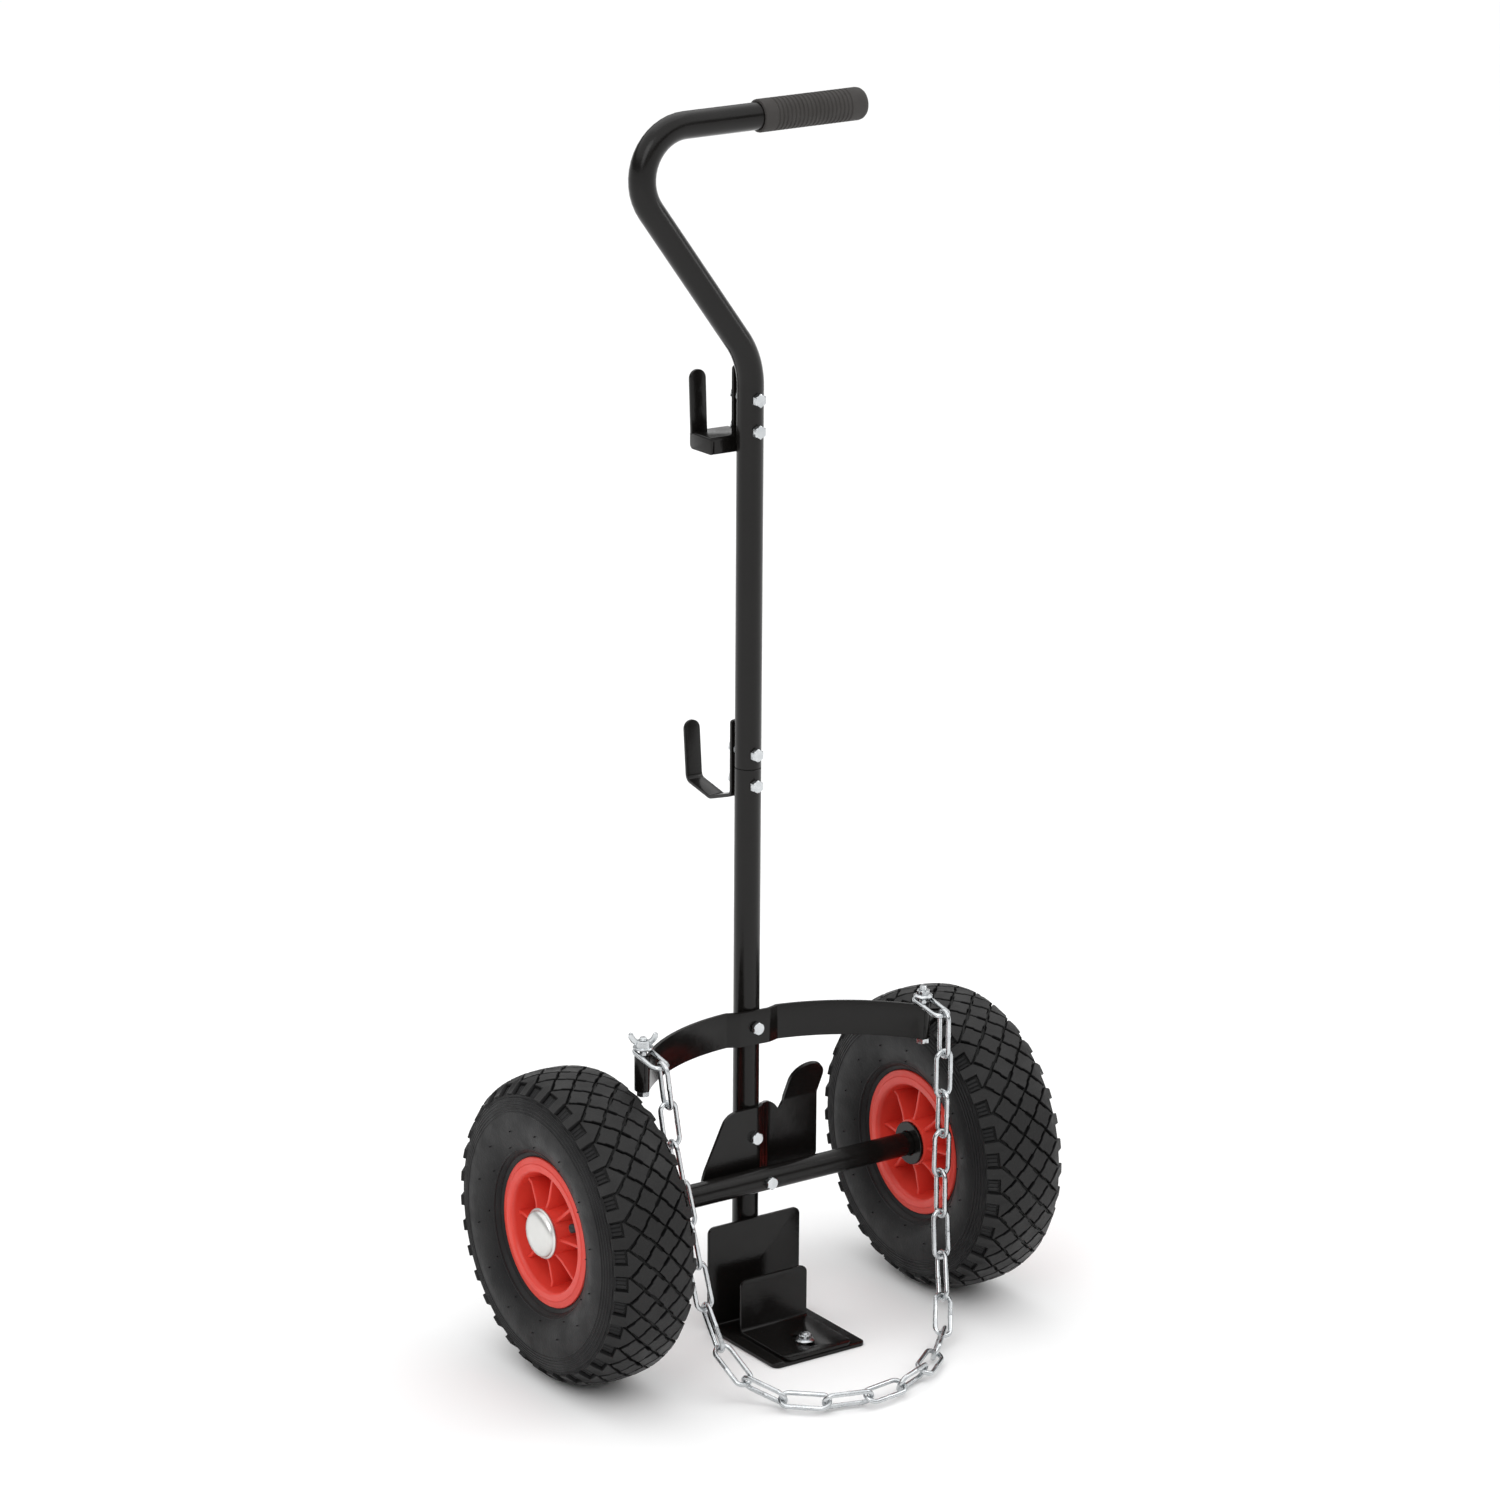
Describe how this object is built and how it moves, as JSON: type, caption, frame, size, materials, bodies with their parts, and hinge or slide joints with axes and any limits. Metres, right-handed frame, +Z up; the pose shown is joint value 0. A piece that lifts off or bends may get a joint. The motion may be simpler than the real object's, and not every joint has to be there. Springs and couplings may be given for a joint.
{
  "type": "hand truck",
  "caption": "Hand truck with a bent tube post and side grip, pneumatic wheels on a tube axle, a toe plate with a sliding clamp, a chain hoop and cable hooks",
  "frame": {"origin": "on the underside of the toe plate, on the floor straight below the middle of the axle", "axes": "+Z up along the post; +X towards the grip's end, along the axle; -Y towards the load"},
  "size_m": [0.4542, 0.3264, 1.0315],
  "materials": {
    "black_paint": "gloss black powder coat",
    "zinc": "bright zinc plate",
    "grip_rubber": "ribbed dark grey rubber",
    "tyre_rubber": "matt black tyre rubber",
    "red_plastic": "satin red moulded plastic",
    "cap_metal": "satin pressed metal",
    "black_plastic": "matt black"
  },
  "bodies": {
    "root": {"lower_post": "black_paint", "handle_tube": "black_paint", "lower_hook": "black_paint", "upper_hook": "black_paint", "toe_plate": "black_paint", "holder_plate": "black_paint", "chain_hoop": "black_paint", "axle_tube": "black_paint", "left_stop_washer": "black_paint", "right_stop_washer": "black_paint", "post_sleeve": "zinc", "lower_hook_washer": "zinc", "upper_hook_washer": "zinc", "joint_bolt_upper": "zinc", "joint_bolt_lower": "zinc", "hook_bolt_upper": "zinc", "hook_bolt_lower": "zinc", "plate_bolt": "zinc", "axle_bolt": "zinc", "hoop_bolt": "zinc", "clamp_bolt": "zinc", "left_chain_bolt": "zinc", "right_chain_bolt": "zinc", "chain_lock_nut": "zinc", "chain_link_01": "zinc", "chain_link_25": "zinc", "grip": "grip_rubber", "left_hub_cap": "cap_metal", "right_hub_cap": "cap_metal"},
    "left_wheel": {"left_tyre": "tyre_rubber", "left_rim": "red_plastic", "left_valve": "black_plastic"},
    "right_wheel": {"right_tyre": "tyre_rubber", "right_rim": "red_plastic", "right_valve": "black_plastic"},
    "clamp": {"clamp_angle": "black_paint"},
    "wing_nut_body": {"wing_nut": "zinc"},
    "free_chain": {"chain_link_02": "zinc", "chain_link_03": "zinc", "chain_link_04": "zinc", "chain_link_05": "zinc", "chain_link_06": "zinc", "chain_link_07": "zinc", "chain_link_08": "zinc", "chain_link_09": "zinc", "chain_link_10": "zinc", "chain_link_11": "zinc", "chain_link_12": "zinc", "chain_link_13": "zinc", "chain_link_14": "zinc", "chain_link_15": "zinc", "chain_link_16": "zinc", "chain_link_17": "zinc", "chain_link_18": "zinc", "chain_link_19": "zinc", "chain_link_20": "zinc", "chain_link_21": "zinc", "chain_link_22": "zinc", "chain_link_23": "zinc", "chain_link_24": "zinc"}
  },
  "joints": [
    {"name": "left_wheel_spin", "type": "hinge", "parent": "root", "child": "left_wheel", "pos_m": [-0.1846, 0, 0.13], "axis": [1, 0, 0], "continuous": true},
    {"name": "right_wheel_spin", "type": "hinge", "parent": "root", "child": "right_wheel", "pos_m": [0.1846, 0, 0.13], "axis": [1, 0, 0], "continuous": true},
    {"name": "clamp_slide", "type": "slide", "parent": "root", "child": "clamp", "axis": [0, 1, 0], "range_m": [-0.0125, 0.0085]},
    {"name": "wing_nut_turn", "type": "hinge", "parent": "root", "child": "wing_nut_body", "pos_m": [-0.13727, -0.02647, 0.283], "axis": [0, 0, 1], "continuous": true},
    {"name": "chain_swing", "type": "hinge", "parent": "root", "child": "free_chain", "pos_m": [-0.00854, -0.07113, 0.27447], "axis": [-0.9962, 0.0872, 0], "range_deg": [0, 90]}
  ]
}
